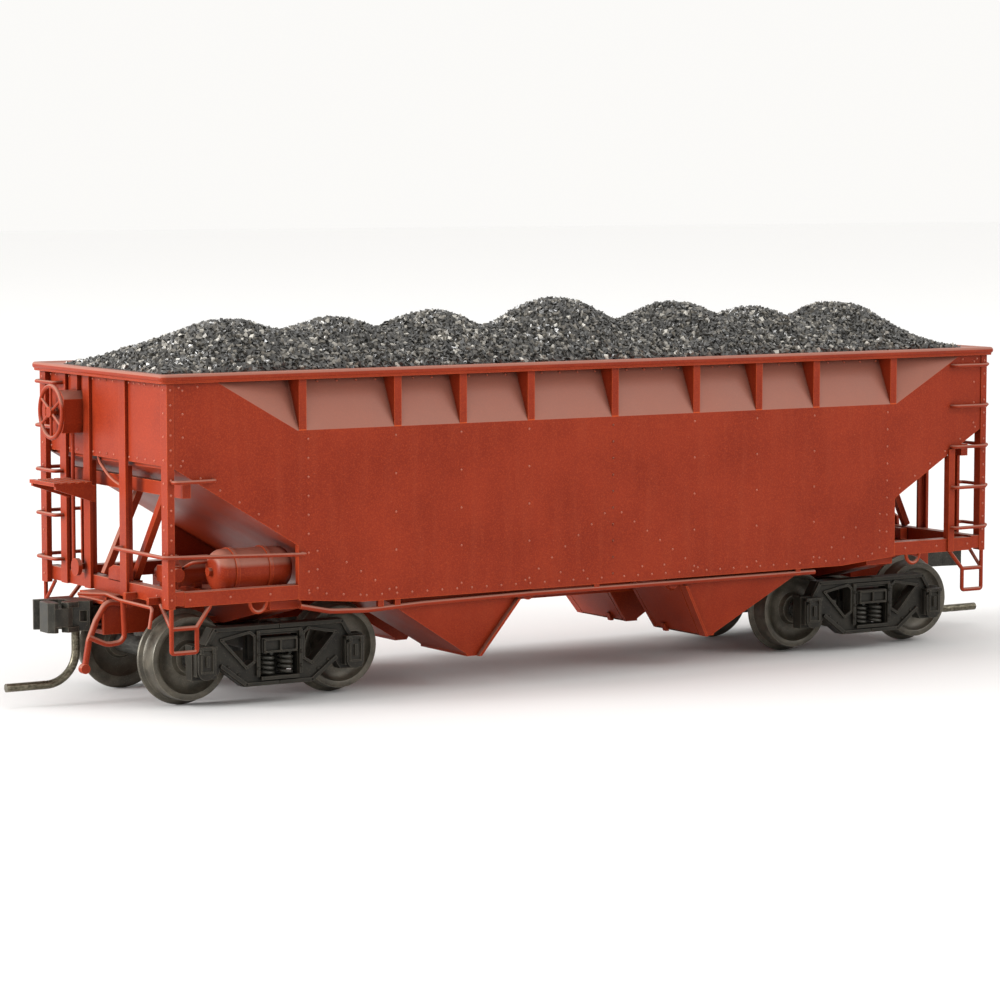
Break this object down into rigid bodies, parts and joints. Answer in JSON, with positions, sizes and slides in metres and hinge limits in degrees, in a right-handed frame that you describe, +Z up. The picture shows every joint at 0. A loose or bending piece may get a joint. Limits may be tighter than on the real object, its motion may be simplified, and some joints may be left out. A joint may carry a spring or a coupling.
{
  "type": "model hopper car",
  "caption": "Scale model railway hopper car with offset ribbed sides, sloped ends, swinging hopper doors, swivelling trucks, knuckle couplers and a lift-out coal load",
  "frame": {"origin": "middle of the car at the level of the wheel flanges' lowest points", "axes": "+X towards the end without the hand brake, +Y to the left, +Z up"},
  "size_m": [0.1396, 0.035, 0.0442],
  "materials": {
    "body_red": "satin oxide red paint",
    "truck_grey": "weathered dark grey",
    "spring_steel": "blackened",
    "wheel_metal": "blackened, bare tread edge",
    "axle_steel": "blackened",
    "coupler_black": "blackened casting",
    "trip_steel": "bare wire",
    "screw_steel": "blackened",
    "coal": "glinting crushed grains"
  },
  "bodies": {
    "carbody": {"air_hoses": "body_red", "air_pipes": "body_red", "air_reservoir": "body_red", "body_bolsters": "body_red", "brake_cylinder": "body_red", "brake_housing": "body_red", "brake_platform": "body_red", "brake_rigging": "body_red", "centre_sill": "body_red", "control_valve": "body_red", "corner_irons": "body_red", "cross_ridge": "body_red", "door_hinge_pins": "axle_steel", "draft_box_screws": "screw_steel", "draft_boxes": "body_red", "end_bracing": "body_red", "end_frames": "body_red", "end_panels": "body_red", "equipment_carriers": "body_red", "hopper_chutes": "body_red", "ladders": "body_red", "roping_staples": "body_red", "side_gussets": "body_red", "side_panel_left": "body_red", "side_panel_right": "body_red", "side_sills": "body_red", "sill_steps": "body_red", "slope_sheets": "body_red", "top_chord": "body_red", "truck_screws": "screw_steel", "uncoupling_levers": "body_red"},
    "coal_load": {"coal_tray": "coal", "coal_heap": "coal"},
    "brake_wheel": {"brake_wheel": "body_red"},
    "door_a_left": {"door_a_left": "body_red"},
    "door_a_right": {"door_a_right": "body_red"},
    "truck_a": {"truck_bolster_a": "truck_grey", "sideframes_a": "truck_grey", "truck_springs_a": "spring_steel"},
    "wheelset_a1": {"wheels_a1": "wheel_metal", "axle_a1": "axle_steel"},
    "wheelset_a2": {"wheels_a2": "wheel_metal", "axle_a2": "axle_steel"},
    "coupler_a": {"coupler_a": "coupler_black", "trip_pin_a": "trip_steel"},
    "knuckle_a": {"knuckle_a": "coupler_black"},
    "door_b_left": {"door_b_left": "body_red"},
    "door_b_right": {"door_b_right": "body_red"},
    "truck_b": {"truck_bolster_b": "truck_grey", "sideframes_b": "truck_grey", "truck_springs_b": "spring_steel"},
    "wheelset_b1": {"wheels_b1": "wheel_metal", "axle_b1": "axle_steel"},
    "wheelset_b2": {"wheels_b2": "wheel_metal", "axle_b2": "axle_steel"},
    "coupler_b": {"coupler_b": "coupler_black", "trip_pin_b": "trip_steel"},
    "knuckle_b": {"knuckle_b": "coupler_black"}
  },
  "joints": [
    {"name": "coal_load_lift", "type": "slide", "parent": "carbody", "child": "coal_load", "axis": [0, 0, 1], "range_m": [0, 0.03]},
    {"name": "brake_wheel_turn", "type": "hinge", "parent": "carbody", "child": "brake_wheel", "pos_m": [-0.06045, 0.0074, 0.0324], "axis": [1, 0, 0], "continuous": true},
    {"name": "door_a_left_swing", "type": "hinge", "parent": "carbody", "child": "door_a_left", "pos_m": [0.01035, 0.009, 0.01065], "axis": [0, 1, 0], "range_deg": [0, 50]},
    {"name": "door_a_right_swing", "type": "hinge", "parent": "carbody", "child": "door_a_right", "pos_m": [0.01035, -0.009, 0.01065], "axis": [0, 1, 0], "range_deg": [0, 50]},
    {"name": "truck_a_swivel", "type": "hinge", "parent": "carbody", "child": "truck_a", "pos_m": [0.0422, 0, 0.0075], "axis": [0, 0, 1], "range_deg": [-6, 6]},
    {"name": "wheelset_a1_roll", "type": "hinge", "parent": "truck_a", "child": "wheelset_a1", "pos_m": [0.03257, 0, 0.00545], "axis": [0, 1, 0], "continuous": true},
    {"name": "wheelset_a2_roll", "type": "hinge", "parent": "truck_a", "child": "wheelset_a2", "pos_m": [0.05183, 0, 0.00545], "axis": [0, 1, 0], "continuous": true},
    {"name": "coupler_a_swing", "type": "hinge", "parent": "carbody", "child": "coupler_a", "pos_m": [0.0525, 0, 0.01], "axis": [0, 0, 1], "range_deg": [-8, 8], "stiffness_Nm_per_rad": 0.002},
    {"name": "knuckle_a_open", "type": "hinge", "parent": "coupler_a", "child": "knuckle_a", "pos_m": [0.06285, 0.00145, 0.01], "axis": [0, 0, 1], "range_deg": [0, 30], "stiffness_Nm_per_rad": 0.0002},
    {"name": "door_b_left_swing", "type": "hinge", "parent": "carbody", "child": "door_b_left", "pos_m": [-0.01035, 0.009, 0.01065], "axis": [0, -1, 0], "range_deg": [0, 50]},
    {"name": "door_b_right_swing", "type": "hinge", "parent": "carbody", "child": "door_b_right", "pos_m": [-0.01035, -0.009, 0.01065], "axis": [0, -1, 0], "range_deg": [0, 50]},
    {"name": "truck_b_swivel", "type": "hinge", "parent": "carbody", "child": "truck_b", "pos_m": [-0.0422, 0, 0.0075], "axis": [0, 0, 1], "range_deg": [-6, 6]},
    {"name": "wheelset_b1_roll", "type": "hinge", "parent": "truck_b", "child": "wheelset_b1", "pos_m": [-0.05183, 0, 0.00545], "axis": [0, 1, 0], "continuous": true},
    {"name": "wheelset_b2_roll", "type": "hinge", "parent": "truck_b", "child": "wheelset_b2", "pos_m": [-0.03257, 0, 0.00545], "axis": [0, 1, 0], "continuous": true},
    {"name": "coupler_b_swing", "type": "hinge", "parent": "carbody", "child": "coupler_b", "pos_m": [-0.0525, 0, 0.01], "axis": [0, 0, 1], "range_deg": [-8, 8], "stiffness_Nm_per_rad": 0.002},
    {"name": "knuckle_b_open", "type": "hinge", "parent": "coupler_b", "child": "knuckle_b", "pos_m": [-0.06285, -0.00145, 0.01], "axis": [0, 0, 1], "range_deg": [0, 30], "stiffness_Nm_per_rad": 0.0002}
  ]
}
